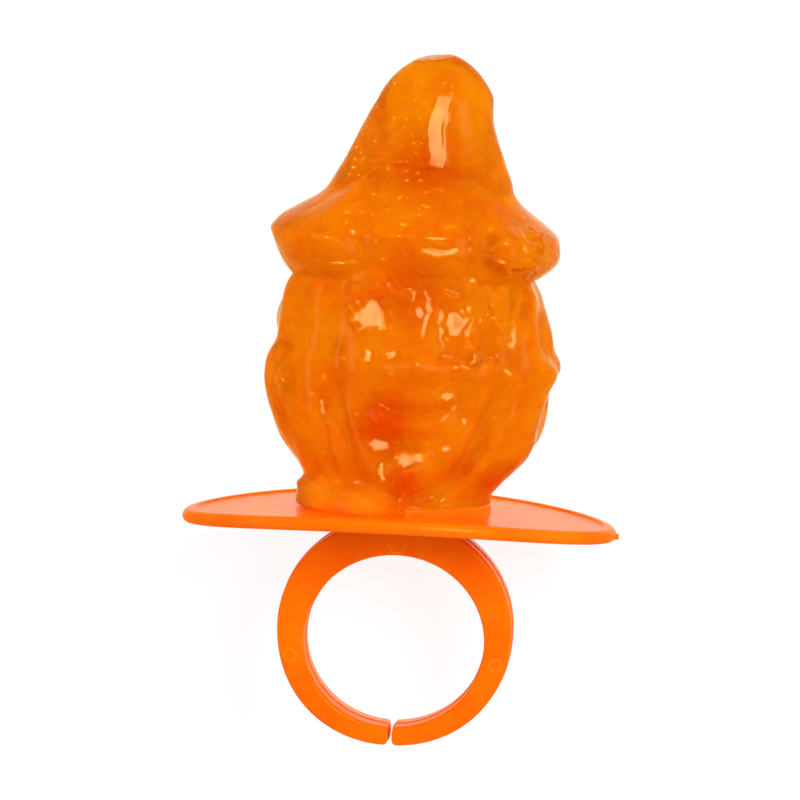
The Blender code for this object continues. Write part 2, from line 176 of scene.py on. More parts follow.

# Where the sugar is thin and painted paler, which is also painted light: at the skirt's end and on the
# hat's flanks
PALE_AND_LIT_PLACES = (
    ((-8.0, 3.0, 6.0), 5.0, 1.2),
    ((-3.0, 2.8, 9.5), 3.5, 1.0),
    ((-4.5, 38.0, 3.0), 5.5, 0.7),
    ((8.0, 36.0, 2.0), 4.5, 0.5),
)

# The chipped flap on the brim's right
ROUGH_FLAP = (12.4, 28.2, 6.0)
ROUGH_FLAP_RADIUS = 5.5

# Trapped air
CROWN_BUBBLES = 180
FACE_BUBBLES = 80
BUBBLE_ROW = 0.85
BUBBLE_COVER = 0.35  # sugar over a large bubble
# Large bubbles on the cheeks: x, y, radius
LARGE_BUBBLES = ((7.1, 17.7, 1.0), (-6.2, 18.0, 0.75), (6.8, 15.6, 0.45), (-3.6, 17.8, 0.35))

# Pose
BRIM_BACK = 12.0
REST_FLAT = 0.25
LIE_ANGLE = math.atan2(PLATE_DEPTH / 2 - BRIM_BACK, BRIM_Y - PLATE_DROOP)
ROOT_AT = (0.025, -12.422, 14.912)  # where the pieces' own origin lies on the floor

# Colours
DARK_SUGAR = (0.715, 0.195, 0.002, 1.0)
LIGHT_SUGAR = (0.77, 0.345, 0.002, 1.0)
# Deeper red, also painted shade under the brim and in the grooves round the chin
DEEP_RED_AND_SHADE_SUGAR = (0.62, 0.09, 0.001, 1.0)
# Paler sugar, also painted light at the skirt's end and on the hat's flanks
PALE_AND_LIT_SUGAR = (1.0, 0.42, 0.01, 1.0)
DARK_PLASTIC = (0.84, 0.11, 0.0006, 1.0)
LIGHT_PLASTIC = (0.87, 0.165, 0.001, 1.0)
# Pale colours of the air beads, a painted sheen for the glints that bubbles catch
DIM_BEAD_SHEEN = (1.0, 0.5, 0.12, 1.0)
BRIGHT_BEAD_SHEEN = (1.0, 0.75, 0.35, 1.0)
# A pale line round each moulding mark: a painted highlight along its edge
MARK_EDGE_HIGHLIGHT = (1.0, 0.36, 0.01, 1.0)
MARK_EDGE_HIGHLIGHT_WIDTH = 0.14
MARK_EDGE_HIGHLIGHT_SHARE = 0.35

# Refraction: the sugar's is below its real one, which would mirror dark bands inside it
SUGAR_IOR = 1.33
AIR_IN_SUGAR_IOR = 0.64

# Light: the room's level, and the colours that mirrored rays see in it from below to above
ROOM = 0.82
MIRRORED_ROOM = (
    (0.0, (1.2, 1.0, 0.85, 1.0)),
    (0.01, (1.0, 0.8, 0.55, 1.0)),
    (0.05, (0.95, 0.5, 0.2, 1.0)),
    (0.12, (0.95, 0.33, 0.06, 1.0)),
    (0.42, (0.85, 0.2, 0.015, 1.0)),
    (0.5, (0.4, 0.11, 0.01, 1.0)),
    (0.6, (0.07, 0.06, 0.05, 1.0)),
)
FLOOR_GLOW = 0.79
SOFTBOX_AIM = (0.0, 0.0, 0.012)
SOFTBOX_DISTANCE = 0.6
# Softboxes: direction, width and height in metres, radiance
SOFTBOXES = {
    "key": ((0.35, 0.49, 0.8), (0.14, 0.34), 17.0),
    "left_strip": ((-0.86, 0.1, 0.5), (0.26, 0.5), 1.4),
    "right_strip": ((0.9, 0.1, 0.42), (0.26, 0.5), 1.4),
}

# Camera, in the pieces' own frame
CAMERA_AIM = (-0.58, 12.5, 0.0)
CAMERA_DISTANCE = 517.0
CAMERA_AZIMUTH = 3.8
CAMERA_ELEVATION = 5.6
CAMERA_ROLL = 2.4
CAMERA_LENS = 232.6


# --- shared helpers ---------------------------------------------------------------------------


def lying():
    """The transform that lays the worn lollipop on its back on the floor."""
    return Matrix.Translation(Vector(ROOT_AT) * MM) @ Matrix.Rotation(-LIE_ANGLE, 4, "X")


def add_object(name, mesh):
    obj = bpy.data.objects.new(name, mesh)
    bpy.context.scene.collection.objects.link(obj)
    return obj


def smooth_step(value, low, high):
    """0 below one value and 1 above another, with a smooth rise between them."""
    share = np.clip((value - low) / (high - low), 0.0, 1.0)
    return share * share * (3.0 - 2.0 * share)


def bell(value, width):
    """A round bump, 1 at zero, that has died away at about twice its width."""
    return np.exp(-((value / width) ** 2))


def coordinates(mesh):
    """A mesh's points in millimetres, one to a row."""
    flat = np.empty(len(mesh.vertices) * 3)
    mesh.vertices.foreach_get("co", flat)
    return flat.reshape(-1, 3) / MM


def set_coordinates(mesh, points):
    mesh.vertices.foreach_set("co", (points * MM).ravel())
    mesh.update()


def rest_flat(points):
    """Presses the points that would sink into the floor flat onto it."""
    down = Vector((0.0, math.sin(LIE_ANGLE), -math.cos(LIE_ANGLE)))
    floor = Vector((0.0, PLATE_DROOP, -PLATE_DEPTH / 2)).dot(down) - REST_FLAT
    below = np.maximum(points @ np.array(down) - floor, 0.0)
    return points - below[:, None] * np.array(down)


def mesh_from(source, name):
    """Turns an object and its modifiers, or a curve, into a plain closed mesh."""
    bpy.context.view_layer.update()
    graph = bpy.context.evaluated_depsgraph_get()
    mesh = bpy.data.meshes.new_from_object(source.evaluated_get(graph))
    made = add_object(name, mesh)
    made.matrix_world = source.matrix_world
    bpy.data.objects.remove(source, do_unlink=True)
    body = bmesh.new()
    body.from_mesh(mesh)
    bmesh.ops.remove_doubles(body, verts=body.verts, dist=0.001 * MM)
    bmesh.ops.recalc_face_normals(body, faces=body.faces)
    body.to_mesh(mesh)
    body.free()
    return made


def turned(name, profile, steps):
    """A solid turned round Y from a profile of (radius, y) that starts and ends on the axis."""
    mesh = bpy.data.meshes.new(name)
    points = [(radius * MM, y * MM, 0.0) for radius, y in profile]
    mesh.from_pydata(points, [(i, i + 1) for i in range(len(points) - 1)], [])
    blank = add_object(name + "_profile", mesh)
    screw = blank.modifiers.new("Screw", "SCREW")
    screw.axis = "Y"
    screw.steps = screw.render_steps = steps
    screw.use_merge_vertices = True
    screw.merge_threshold = 0.00001
    return mesh_from(blank, name)


def arc(centre_radius, centre_y, radius, start, end, steps):
    """Points along an arc of a profile, from one angle in degrees to another."""
    angles = [math.radians(start + (end - start) * i / steps) for i in range(steps + 1)]
    return [(centre_radius + radius * math.cos(a), centre_y + radius * math.sin(a)) for a in angles]


def boolean(obj, operand, operation):
    """Joins an object, or a collection of them, to another, or cuts it out."""
    modifier = obj.modifiers.new("Boolean", "BOOLEAN")
    modifier.operation = operation
    modifier.solver = "EXACT"
    if isinstance(operand, bpy.types.Collection):
        modifier.operand_type = "COLLECTION"
        modifier.collection = operand
    else:
        modifier.object = operand
    bpy.context.view_layer.update()
    graph = bpy.context.evaluated_depsgraph_get()
    mesh = bpy.data.meshes.new_from_object(obj.evaluated_get(graph))
    obj.modifiers.remove(modifier)
    obj.data = mesh


def make_disc(name, centre, radius, length, axis, steps, taper=1.0):
    """A disc, or a blunt cone where it tapers, along an axis."""
    body = bmesh.new()
    ends = radius * MM, radius * taper * MM
    bmesh.ops.create_cone(
        body, cap_ends=True, segments=steps, radius1=ends[0], radius2=ends[1], depth=length * MM
    )
    turn = Vector((0.0, 0.0, 1.0)).rotation_difference(Vector(axis)).to_matrix().to_4x4()
    body.transform(Matrix.Translation(Vector(centre) * MM) @ turn)
    mesh = bpy.data.meshes.new(name)
    body.to_mesh(mesh)
    body.free()
    return add_object(name, mesh)


def finish_piece(piece, name, material, node, sharp_angle):
    """Lays a piece down, smooths it and hands it to the frame."""
    piece.name = piece.data.name = name
    piece.data.materials.clear()
    piece.data.materials.append(material)
    piece.data.shade_smooth()
    piece.data.set_sharp_from_angle(angle=math.radians(sharp_angle))
    piece.data.transform(lying())
    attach(piece, "root")
    if node:
        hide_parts(node)


# --- plastic ----------------------------------------------------------------------------------


def make_plate():
    """Oval plate with a rounded rim, turned as a disc, squashed to an oval and bent down at its tips."""
    edge = PLATE_THICKNESS / 2
    radius = PLATE_WIDTH / 2
    shares = [i / 14 for i in range(1, 14)]
    floor = edge - PLATE_RECESS
    wall = radius - PLATE_RIM_WIDTH
    top = [(0.0, floor)] + [(wall * share, floor) for share in shares] + [(wall, floor)]
    rim_step = [(wall + 0.12, floor + 0.03), (wall + 0.28, edge - 0.03), (wall + 0.4, edge)]
    rim = arc(radius - edge, 0.0, edge, 90, -90, 16)
    bottom = [((radius - edge) * share, -edge) for share in reversed(shares)] + [(0.0, -edge)]
    plate = turned("plate", top + rim_step + rim + bottom, 240)
    points = coordinates(plate.data)
    around = np.arctan2(points[:, 2], points[:, 0])
    reach = np.hypot(points[:, 0], points[:, 2])
    squash = (PLATE_DEPTH / 2 - edge) / (radius - edge)
    inner = np.minimum(reach, radius - edge)
    outer = reach - inner
    points[:, 0] = (inner + outer) * np.cos(around)
    points[:, 2] = (inner * squash + outer) * np.sin(around)
    points[:, 1] += PLATE_DROOP * (1.0 - (points[:, 0] / radius) ** 2)
    points[:, 0] += PLATE_X
    set_coordinates(plate.data, rest_flat(points))
    return plate


def make_plinth():
    """Round plinth that the sweet is cast on, sunk a little way into the plate."""
    corner = PLINTH_RADIUS - PLINTH_EDGE_RADIUS
    rounded = arc(corner, PLINTH_TOP - PLINTH_EDGE_RADIUS, PLINTH_EDGE_RADIUS, 90, 0, 8)
    foot = PLATE_DROOP - 0.3 * PLATE_THICKNESS
    profile = [(0.0, PLINTH_TOP)] + rounded + [(PLINTH_RADIUS, foot), (0.0, foot)]
    plinth = turned("plinth", profile, 160)
    plinth.data.transform(Matrix.Translation((PLINTH_X * MM, 0.0, 0.0)))
    return plinth


def outer_point(angle):
    """A point of the band's outside, which is flatter above and slightly square below."""
    cos, sin = math.cos(angle), math.sin(angle)
    if sin > 0:
        return BAND_OUTER_RADIUS * cos, BAND_OUTER_TOP * sin
    power = 2.0 / BAND_OUTER_SQUARENESS
    x = math.copysign(abs(cos) ** power, cos)
    return BAND_OUTER_RADIUS * x, -BAND_OUTER_RADIUS * abs(sin) ** power


def band_outline():
    """Outline of the split band: round outside, oval inside, thinnest at the split, with blunt ends."""
    steps = 150
    start = math.radians(-90) + (BAND_SPLIT / 2 + BAND_END_CHAMFER) / BAND_OUTER_RADIUS
    end = math.radians(180) - start
    outer, inner = [], []
    for i in range(steps + 1):
        a = start + (end - start) * i / steps
        x, y = outer_point(a)
        outer.append((x, BAND_OUTER_Y + y))
        x, y = BAND_INNER_HALF_WIDTH * math.cos(a), BAND_INNER_HALF_HEIGHT * math.sin(a)
        inner.append((x, BAND_INNER_Y + y))
    middle = (outer[0][1] + inner[0][1]) / 2
    half = (inner[0][1] - outer[0][1]) / 2
    right_end = []
    for i in range(1, 12):
        turn = math.radians(90 - 180 * i / 12)
        x = BAND_SPLIT / 2 + BAND_END_CHAMFER * (1.0 - math.cos(turn) ** 0.6)
        right_end.append((x, middle + half * math.copysign(abs(math.sin(turn)) ** 0.8, turn)))
    left_end = [(-x, y) for x, y in reversed(right_end)]
    return right_end + outer + left_end + list(reversed(inner))


def make_band(name, half_depth, edge_radius, offset):
    """The band's outline, made wider by an offset, as a slab with rounded edges."""
    curve = bpy.data.curves.new(name, "CURVE")
    curve.dimensions = "2D"
    curve.fill_mode = "BOTH"
    curve.extrude = (half_depth - edge_radius) * MM
    curve.bevel_depth = edge_radius * MM
    curve.bevel_resolution = 4
    curve.offset = (offset - edge_radius) * MM
    outline = band_outline()
    spline = curve.splines.new("POLY")
    spline.points.add(len(outline) - 1)
    for point, (x, y) in zip(spline.points, outline):
        point.co = ((x + BAND_X) * MM, y * MM, 0.0, 1.0)
    spline.use_cyclic_u = True
    return mesh_from(add_object(name + "_curve", curve), name)


def make_ring_base(material):
    """Plate, plinth, band and moulding marks, joined into one piece of plastic."""
    seam_height, seam_width = BAND_SEAM
    parts = [make_plinth(), make_band("band", BAND_DEPTH / 2, BAND_EDGE_RADIUS, 0.0)]
    parts.append(make_band("band_seam", seam_width / 2, 0.03, seam_height))
    for number, (x, y, radius) in enumerate(EJECTOR_MARKS):
        z = BAND_DEPTH / 2 + EJECTOR_HEIGHT / 2 - EJECTOR_ROOT / 2
        height = EJECTOR_HEIGHT + EJECTOR_ROOT
        parts.append(make_disc(f"mark_{number}", (x + BAND_X, y, z), radius, height, (0, 0, 1), 40))
    radius, length = GATE_NUB
    tip = (PLATE_X + PLATE_WIDTH / 2 - length * 0.25, -0.13, 0.17)
    parts.append(make_disc("gate", tip, radius, length, (1, 0, 0), 24, taper=0.6))
    joined = bpy.data.collections.new("plastic_pieces")
    bpy.context.scene.collection.children.link(joined)
    for part in parts:
        bpy.context.scene.collection.objects.unlink(part)
        joined.objects.link(part)
    plate = make_plate()
    boolean(plate, joined, "UNION")
    for part in parts:
        bpy.data.objects.remove(part, do_unlink=True)
    bpy.data.collections.remove(joined)
    finish_piece(plate, "plastic_ring_base", material, "ring_base", 35)


# --- sweet: outline ---------------------------------------------------------------------------


def hat_reach(y):
    """Half width of the hat's hollow-sided cone, closed by a dome."""
    half_width, at_y, slowness = HAT_CONE
    cone = half_width * np.exp(-(y - at_y) / slowness)
    dome = np.clip((y - (SWEET_TOP - HAT_DOME)) / HAT_DOME, 0.0, 1.0)
    return cone * np.sqrt(np.maximum(1.0 - dome**2, 0.0))


def hair_reach(y):
    """Half width of the head with its hair."""
    below = HAIR_DRAWS_IN[0] * np.minimum(y - HAIR_WIDEST_Y, 0.0) ** 2
    above = HAIR_DRAWS_IN[1] * np.maximum(y - HAIR_WIDEST_Y, 0.0) ** 2
    return np.maximum(HAIR_HALF_WIDTH - below - above, NECK_HALF_WIDTH)


def hair_to_hat(y, hair, hat):
    """Passes from a size of the hair to one of the hat under the brim."""
    under_hat = smooth_step(y, 25.0, 31.0)
    return hair * (1.0 - under_hat) + hat * under_hat


def outline(y, side):
    """Half width of the sweet without its brim, with the curls that stand out on each side."""
    reach = hair_to_hat(y, hair_reach(y), np.minimum(hat_reach(y), 11.6))
    right = (side + 1.0) / 2.0
    left = 1.0 - right
    left_curls = 0.15 * bell(y - 14.2, 1.6) - 0.4 * bell(y - 18.4, 1.3) - 0.5 * bell(y - 6.0, 2.2)
    right_curls = 1.0 * bell(y - 16.2, 1.5) + 0.3 * bell(y - 19.8, 1.5) + 0.4 * bell(y - 8.5, 2.0)
    shoulder = 0.35 * bell(y - 43.0, 1.5)
    return reach + left * left_curls + right * (right_curls + shoulder)


def centre_x(y):
    """The middle of the sweet, which leans to the right in the hat."""
    lean, above_y = HAT_LEAN
    return 0.25 + lean * np.maximum(y - above_y, 0.0)


def front_reach(y):
    """Depth of the sweet in front of its middle, without features."""
    face = 9.0 + 0.9 * smooth_step(y, 3.0, 9.0) - 0.4 * smooth_step(y, 17.0, 24.0)
    return hair_to_hat(y, face, np.minimum(hat_reach(y) * 0.92, 10.6))


def back_reach(y):
    """Depth of the sweet behind its middle."""
    hair = 9.0 + 1.3 * smooth_step(y, 3.0, 12.0)
    return hair_to_hat(y, hair, np.minimum(hat_reach(y) * 0.88, 10.2))


def brim(angle, y):
    """How far the brim stands out: longer at the sides, and flowing gently up the cone between them."""
    cos, sin = np.cos(angle), np.sin(angle)
    left = smooth_step(-cos, 0.35, 0.62)
    right = smooth_step(cos, 0.45, 0.7)
    back = smooth_step(-sin, 0.2, 0.9) * (1.0 - left - right)
    front = smooth_step(sin, 0.2, 0.5)
    centre = 1.0 - smooth_step(np.abs(cos), 0.35, 0.88)
    reach = 1.7 + 1.45 * left + 1.7 * right + 0.35 * back - 0.7 * front * (1.0 - left - right)
    middle = BRIM_FRONT_Y + 1.0 * left - 0.3 * right + (BRIM_Y - BRIM_FRONT_Y) * back
    above = 3.0 + 1.6 * left + 3.0 * right + (8.0 - 4.0 * smooth_step(sin, -0.3, 0.3)) * centre
    below = 3.3 + 1.0 * left - 0.4 * right
    over = np.clip((y - middle) / above, 0.0, 1.0)
    under = np.clip((middle - y) / below, 0.0, 1.0)
    notch = bell(cos + 0.42, 0.13) + bell(cos - 0.52, 0.13)
    return (reach - 0.45 * notch * front) * (1.0 - over**2) ** 2 * (1.0 - under**2)


# --- sweet: relief ----------------------------------------------------------------------------


def face_edge(y):
    """Half width of the face between the locks of hair, which narrows to the chin."""
    share = np.clip((18.0 - y) / 16.2, 0.0, 1.0)
    return 8.3 * (1.0 - share**2) ** 0.65


def brow_and_eyes(x, y):
    """Arched brows over sunken sockets with a round eye in each."""
    relief = 0.0
    for side in (-1, 1):
        off = x * side
        arch = BROW_Y - 0.09 * (off - EYE_X) ** 2
        span = smooth_step(off, 0.6, 2.2) * (1.0 - smooth_step(off, 6.8, 8.4))
        relief = relief + 0.6 * bell(y - arch, 1.1) * span
        relief = relief - 0.9 * bell(off - EYE_SOCKET_X, 2.6) * bell(y - EYE_Y, 2.1)
        relief = relief + 1.0 * bell(np.hypot(off - EYE_X, (y - EYE_Y) * 1.1), 2.1)
    return relief


def nose(x, y):
    """A nose that rises and broadens to a knob of a tip between its nostrils."""
    along = np.clip((NOSE_TOP_Y - y) / (NOSE_TOP_Y - NOSE_BROAD_Y), 0.0, 1.0)
    height = 0.2 + 1.0 * along
    width = 1.4 + 0.5 * along
    end = smooth_step(y, 15.0, 17.8) * (1.0 - smooth_step(y, 22.0, 25.6))
    relief = height * bell(x, width) * end
    relief = relief + 1.6 * bell(np.hypot(x, y - NOSE_TIP_Y), 2.0)
    for side in (-1, 1):
        relief = relief + 0.6 * bell(np.hypot(x - side * NOSTRIL_X, y - NOSTRIL_Y), 1.3)
    return relief


def cheeks(x, y):
    """Round cheeks, with a crease from the nose down past the mouth."""
    relief = 0.0
    cheek_x, cheek_y, size = CHEEK
    for side in (-1, 1):
        off = x * side
        relief = relief + 0.9 * bell(np.hypot(off - cheek_x, (y - cheek_y) * 0.9), size)
        crease = 3.2 + 0.42 * (15.9 - y)
        span = smooth_step(y, 10.6, 12.6) * (1.0 - smooth_step(y, 15.0, 16.8))
        relief = relief - 0.3 * bell(off - crease, 0.9) * span
    return relief


def mouth_and_chin(x, y):
    """A curved groove of a smile between its lips, over an uneven knob of a chin."""
    smile = MOUTH_Y + 0.075 * x**2
    span = 1.0 - smooth_step(np.abs(x), 2.6, 4.9)
    relief = -0.55 * bell(y - smile, 0.7) * span
    relief = relief + 0.3 * bell(y - smile - 1.3, 0.9) * span
    relief = relief + 0.4 * bell(y - smile + 1.4, 1.0) * span
    relief = relief - 0.6 * bell(y - 9.4, 0.9) * bell(x, 3.2)
    uneven = 0.12 * np.sin(2.3 * x + 0.7) * np.cos(1.9 * y)
    knob = np.clip(1.0 + uneven - (x * 0.9 / 2.6) ** 2 - ((y - CHIN_Y) / 2.3) ** 2, 0.0, 1.2)
    round_knob = -0.35 * bell(np.hypot(x * 0.9, (y - CHIN_Y) * 1.12) - 3.1, 0.5)
    return relief + 0.9 * bell(np.hypot(x * 0.8, y - CHIN_Y), 3.0) + 1.7 * knob**0.6 + round_knob


def hair(x, y, angle):
    """Wavy strands round the head, a groove along the face's edge and a thick lock beside it."""
    edge = face_edge(y)
    slope = (face_edge(y + 0.1) - face_edge(y - 0.1)) / 0.2
    off_face = (np.abs(x) - edge) / np.sqrt(1.0 + slope**2)
    front = smooth_step(np.sin(angle), -0.05, 0.3)
    hair_zone = 1.0 - front * (1.0 - smooth_step(off_face, -0.2, 1.0))
    under_brim = 1.0 - smooth_step(y, 23.6, 26.0)
    above_foot = smooth_step(y, 3.4, 7.0)
    from_front = np.abs(angle - math.pi / 2)
    turn = np.minimum(from_front, 2 * math.pi - from_front)
    swirl = 0.7 * np.sin(2 * math.pi * y / HAIR_WAVE + 1.1) + 0.11 * y + 0.5 * np.sign(x)
    strand = np.sqrt(np.sin(turn * STRANDS + swirl) ** 2 + 0.03 + 0.25 * front)
    worn = 1.0 - front * (0.65 - 0.3 * smooth_step(y, 8.0, 13.0))
    relief = 0.85 * (strand - 0.62) * worn * hair_zone * under_brim * above_foot
    low = 1.0 - smooth_step(y, 12.0, 18.0)
    groove = bell(off_face, 0.85 + 0.45 * (1.0 - low)) * front * under_brim * smooth_step(y, 2.6, 4.0)
    frame_lock = bell(off_face - 1.9, 1.3) * front * under_brim * smooth_step(y, 8.0, 12.0)
    return relief - (0.28 + 0.72 * low) * groove + (0.35 + 0.15 * low) * frame_lock


def hat_folds(angle, y):
    """Shallow dents in the cone."""
    on_cone = smooth_step(y, 32.0, 35.0) * (1.0 - smooth_step(y, 42.0, 46.0))
    dents = 0.16 * np.sin(2 * angle + 0.35 * y + 1.6) + 0.12 * np.sin(3 * angle - 0.5 * y)
    return dents * on_cone


def brim_lobes(x, y):
    """Rounded ends where the brim droops at the left and right of the face."""
    relief = 0.0
    for height, at_x, at_y, half_x, half_y in BRIM_LOBES:
        off = np.hypot((x - at_x) / half_x, (y - at_y) / half_y)
        relief = relief + height * (1.0 - smooth_step(off, 0.55, 1.0))
    return relief


def ragged(x, y):
    """Small waves that make the edge of a flat uneven."""
    waves = 0.18 * np.sin(2.1 * x + 1.3 * y) + 0.17 * np.sin(3.7 * y - 2.9 * x)
    return waves + 0.1 * np.sin(6.1 * x + 5.3 * y)


def press_flats(x, y, z, places, tilt):
    """Smooths the skin to a tilted flat, with soft edges, at each of some places."""
    for at_x, at_y, half_x, half_y in places:
        off_x, off_y = x - at_x, y - at_y
        behind = 1000.0 * (z < 0.0)
        nearest = np.argmin(off_x**2 + off_y**2 + behind)
        flat = z[nearest] + tilt[0] * off_x + tilt[1] * off_y
        weight = 1.0 - smooth_step(np.hypot(off_x / half_x, off_y / half_y) + ragged(x, y), 0.85, 1.35)
        fill = FACE_FILL if at_y < BRIM_FOOT else BRIM_FILL
        z = np.where(z > 0.0, z + weight * np.clip(flat - z, -DEEPEST_PRESS, fill), z)
    return z


def press_streak(x, y, z):
    """A long bent flat down the crown, which catches the key light as one bright streak."""
    low, high, half_width = STREAK
    for row in np.unique(y[(y > low - 1.0) & (y < high + 1.0)]):
        front = np.flatnonzero((y == row) & (z > 0.0))
        front = front[np.argsort(x[front])]
        centre = 2.2 + 0.75 * smooth_step(row, 40.6, 43.6) + 0.3 * (1.0 - smooth_step(row, 35.8, 39.0))
        height = np.interp(centre, x[front], z[front])
        off = x[front] - centre
        ends = smooth_step(row, low - 0.4, low + 0.3) * (1.0 - smooth_step(row, high - 0.3, high + 0.4))
        edge = np.abs(off) / half_width + 0.6 * ragged(x[front], y[front])
        weight = ends * (1.0 - smooth_step(edge, 0.85, 1.25))
        z[front] += weight * (height + FLAT_TILT[0] * off - z[front])
    return z


def skirt(angle, y):
    """Sugar that ran over the plinth on the left, with a wavy upper edge."""
    ran_over = smooth_step(-np.cos(angle), -0.2, -0.06) * smooth_step(np.sin(angle), -0.75, -0.6)
    wave = 0.2 * np.sin(7.0 * angle)
    thickness, full_y, end_y = SKIRT
    return (thickness + 0.3 * wave) * ran_over * (1.0 - smooth_step(y, full_y + wave, end_y + wave))


def sweet_surface(angle, y):
    """Points of the sweet's skin at an angle, 0 on the right and 90 degrees on the face, and a height."""
    cos, sin = np.cos(angle), np.sin(angle)
    side = np.sign(cos)
    roundness = 2.0 / (2.0 + 0.35 * (1.0 - smooth_step(y, 22.0, 34.0)) * smooth_step(y, 3.0, 8.0))
    across = outline(y, side)
    depth = np.where(sin > 0, front_reach(y), back_reach(y))
    closing = hat_reach(y) / hat_reach(np.minimum(y, SWEET_TOP - HAT_DOME))
    radial = (hat_folds(angle, y) + brim(angle, y)) * closing + skirt(angle, y)
    x = (across + radial) * side * np.abs(cos) ** roundness
    z = (depth + radial) * np.sign(sin) * np.abs(sin) ** roundness
    off_face = x - FACE_X - 0.05 * (y - 12.0)
    on_face = smooth_step(sin, 0.05, 0.45) * smooth_step(y, 2.4, 4.4)
    features = brow_and_eyes(off_face, y) + nose(off_face, y) + cheeks(off_face, y)
    features = features + mouth_and_chin(off_face, y)
    locks = hair(off_face, y, angle)
    foot = PLINTH_X * (1.0 - smooth_step(y, 3.0, 9.0))
    x = x + locks * cos + centre_x(y) + foot
    z = z + locks * sin + features * on_face + brim_lobes(x, y) * smooth_step(sin, 0.1, 0.5)
    z = press_flats(x, y, z, DULL_PLACES, DULL_TILT)
    return x, press_streak(x, y, press_flats(x, y, z, FLATS, FLAT_TILT))


def row_places():
    """Each row's height and share of its full width: dome, cone, head, then the flat base."""
    shoulder = SWEET_TOP - HAT_DOME
    rows = [(shoulder + HAT_DOME * math.cos(math.pi / 2 * i / DOME_ROWS), 1.0) for i in range(DOME_ROWS)]
    rows += [(shoulder + (HAT_FOOT - shoulder) * i / HAT_ROWS, 1.0) for i in range(HAT_ROWS)]
    rows += [(HAT_FOOT + (SWEET_FOOT - HAT_FOOT) * i / FACE_ROWS, 1.0) for i in range(FACE_ROWS + 1)]
    rows += [(SWEET_FOOT, 1.0 - i / BASE_ROWS) for i in range(1, BASE_ROWS + 1)]
    return np.array(rows)


def cut_tip(points):
    """A small flat on the very tip of the hat."""
    up = np.array(TIP_FACES) / np.linalg.norm(TIP_FACES)
    along = points @ up
    above = np.maximum(along - (along.max() - TIP_CUT), 0.0)
    return points - above[:, None] * up


def weather(mesh):
    """Irregularities of cast sugar: soft waves all over and a chipped, grainy flap on the brim's right."""
    normals = np.empty(len(mesh.vertices) * 3)
    mesh.vertices.foreach_get("normal", normals)
    normals = normals.reshape(-1, 3)
    points = coordinates(mesh)
    moves = np.empty(len(points))
    for i, (x, y, z) in enumerate(points):
        at = Vector((x, y, z))
        wave = 0.10 * noise.noise(at * 0.28) + 0.035 * noise.noise(at * 0.9)
        off = (at - Vector(ROUGH_FLAP)) / ROUGH_FLAP_RADIUS
        rough = math.exp(-2.5 * off.length_squared)
        if rough > 0.02:
            cell = noise.voronoi(at * 1.1)[0]
            chip = 0.35 * (cell[1] - cell[0]) + 0.15 * noise.noise(at * 3.1)
            wave += rough * (chip - 0.3)
        moves[i] = wave if y > SWEET_FOOT + 1.4 else 0.0
    set_coordinates(mesh, points + normals * moves[:, None])


def make_sweet(material):
    """The head as one solid: a sphere whose rows and columns are laid out over the sweet's skin."""
    rows = row_places()
    body = bmesh.new()
    bmesh.ops.create_uvsphere(body, u_segments=COLUMNS, v_segments=len(rows) - 1, radius=MM)
    mesh = bpy.data.meshes.new("witch_head")
    body.to_mesh(mesh)
    body.free()
    ball = coordinates(mesh)
    row = np.rint(np.arccos(np.clip(ball[:, 2], -1.0, 1.0)) / math.pi * (len(rows) - 1)).astype(int)
    angle = np.arctan2(-ball[:, 1], ball[:, 0])
    angle = angle + FRONT_DENSITY * np.cos(angle)
    y, share = rows[row].T
    x, z = sweet_surface(angle, y)
    middle = centre_x(y)
    points = np.column_stack([middle + (x - middle) * share, y, z * share])
    set_coordinates(mesh, cut_tip(points))
    weather(mesh)
    set_coordinates(mesh, rest_flat(coordinates(mesh)))
    sweet = add_object("witch_head", mesh)
    top = PLINTH_TOP + SEAT_GAP
    seat = make_disc(
        "seat_cutter", (PLINTH_X, top - 2.0, 0.0), PLINTH_RADIUS + SEAT_SIDE_GAP, 4.0, (0, -1, 0), 160
    )
    boolean(sweet, seat, "DIFFERENCE")
    bpy.data.objects.remove(seat, do_unlink=True)
    skin = BVHTree.FromPolygons(
        [vertex.co for vertex in sweet.data.vertices], [face.vertices for face in sweet.data.polygons]
    )
    sweet.visible_shadow = False
    finish_piece(sweet, "sweet_witch_head", material, "witch_head", 60)
    return skin


# --- trapped air ------------------------------------------------------------------------------


def skin_height(tree, x, y):
    """Height of the sweet's front skin over a place, or None beside it, by a ray cast down on it."""
    hit = tree.ray_cast(Vector((x, y, 40.0)) * MM, Vector((0.0, 0.0, -1.0)))[0]
    return hit.z / MM if hit and hit.z > 0.0 else None


def bubble_places(tree, count, low, high, half_width, deepest):
    """Places scattered in thin level rows below the front skin, as air is caught when sugar is poured."""
    places = []
    while len(places) < count:
        row = round(random.uniform(low, high) / BUBBLE_ROW) * BUBBLE_ROW
        y = row + random.gauss(0.0, 0.12)
        x = float(centre_x(y)) + half_width * random.gauss(-0.15, 0.5)
        top = skin_height(tree, x, y)
        depth = 0.2 + deepest * random.random() ** 1.5
        if top is not None and top > depth + 1.0:
            places.append((x, y, top - depth))
    return places


def make_small_bubbles(tree, material):
    """Specks of air, drawn out along their rows."""
    places = bubble_places(tree, CROWN_BUBBLES, 30.0, 44.5, 7.0, 1.6)
    places += bubble_places(tree, FACE_BUBBLES, 4.0, 30.0, 13.0, 1.4)
    body = bmesh.new()
    for place in places:
        radius = 0.03 + 0.07 * random.random() ** 2
        stretch = Matrix.Diagonal((random.uniform(1.0, 3.0), random.uniform(0.7, 1.0), 1.0, 1.0))
        turn = Matrix.Rotation(random.gauss(0.0, 0.4), 4, "Z")
        where = Matrix.Translation(Vector(place) * MM) @ turn @ stretch
        bmesh.ops.create_icosphere(body, subdivisions=2, radius=radius * MM, matrix=where)
    mesh = bpy.data.meshes.new("small_bubbles")
    body.to_mesh(mesh)
    body.free()
    finish_piece(add_object("small_bubbles", mesh), "trapped_small_bubbles", material, None, 80)


